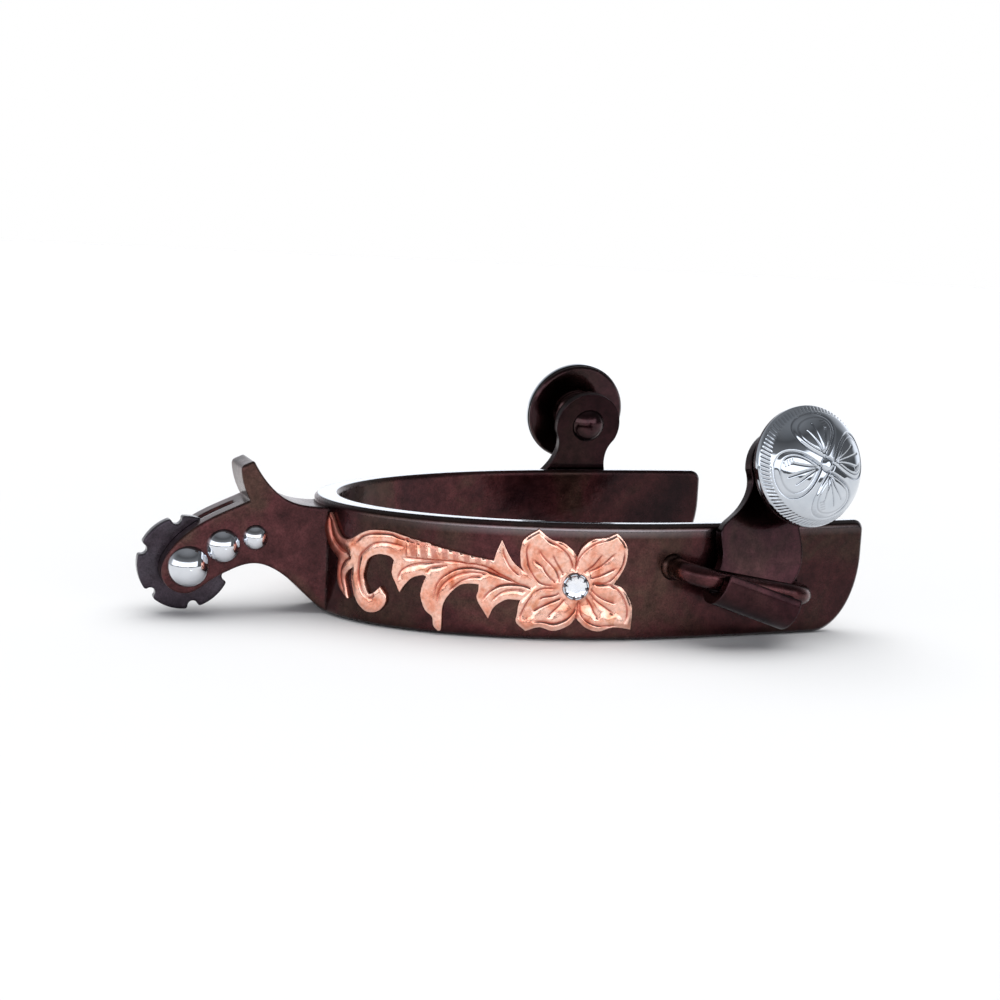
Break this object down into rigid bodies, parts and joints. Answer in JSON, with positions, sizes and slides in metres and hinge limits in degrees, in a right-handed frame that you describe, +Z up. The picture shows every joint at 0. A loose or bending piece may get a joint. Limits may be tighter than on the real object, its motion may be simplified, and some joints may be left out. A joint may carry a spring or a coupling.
{
  "type": "western spur",
  "caption": "Western spur: U-shaped heel band with copper scroll and flower trim, slotted shank with a turning rowel, and swinging strap hangers with domed buttons.",
  "frame": {"origin": "at the heel, on the heel band's bottom edge, half way between the two branches", "axes": "+X towards the toe, +Y to the wearer's left, +Z up; the spur lies on the heel band's bottom edge"},
  "size_m": [0.1572, 0.1167, 0.0528],
  "materials": {
    "browned_steel": "polished, chemically browned steel with worn light edges",
    "rowel_steel": "dark browned steel, satin",
    "chrome_trim": "polished",
    "bright_silver": "polished, engraved, with a beaded rim",
    "copper": "engraved copper, polished high spots and dark recesses",
    "dark_silver": "oxidised silver",
    "clear_stone": "faceted, clear"
  },
  "bodies": {
    "spur_frame": {"heel_band": "browned_steel", "shank": "browned_steel", "rowel_pin": "chrome_trim", "rowel_pin_left_dome": "chrome_trim", "right_middle_stud": "chrome_trim", "right_small_stud": "chrome_trim", "right_hanger_staple": "browned_steel", "right_scroll": "copper", "right_flower": "copper", "right_stone_bezel": "dark_silver", "right_rhinestone": "clear_stone", "left_middle_stud": "chrome_trim", "left_small_stud": "chrome_trim", "left_hanger_staple": "browned_steel", "left_scroll": "copper", "left_flower": "copper", "left_stone_bezel": "dark_silver", "left_rhinestone": "clear_stone"},
    "rowel": {"rowel": "rowel_steel"},
    "right_hanger": {"right_strap_hanger": "browned_steel", "right_button_post": "browned_steel", "right_button_back": "browned_steel", "right_button_face": "bright_silver", "right_button_rivet": "browned_steel"},
    "left_hanger": {"left_strap_hanger": "browned_steel", "left_button_post": "browned_steel", "left_button_back": "browned_steel", "left_button_face": "bright_silver", "left_button_rivet": "browned_steel"}
  },
  "joints": [
    {"name": "rowel_spin", "type": "hinge", "parent": "spur_frame", "child": "rowel", "pos_m": [-0.0317, 0, 0.0111], "axis": [0, 1, 0], "continuous": true},
    {"name": "right_hanger_swing", "type": "hinge", "parent": "spur_frame", "child": "right_hanger", "pos_m": [0.0811, -0.051, 0.0133], "axis": [0.9816, 0, -0.1908], "range_deg": [0, 200]},
    {"name": "left_hanger_swing", "type": "hinge", "parent": "spur_frame", "child": "left_hanger", "pos_m": [0.0759, 0.051, 0.0123], "axis": [-0.9816, 0, 0.1908], "range_deg": [0, 200]}
  ]
}
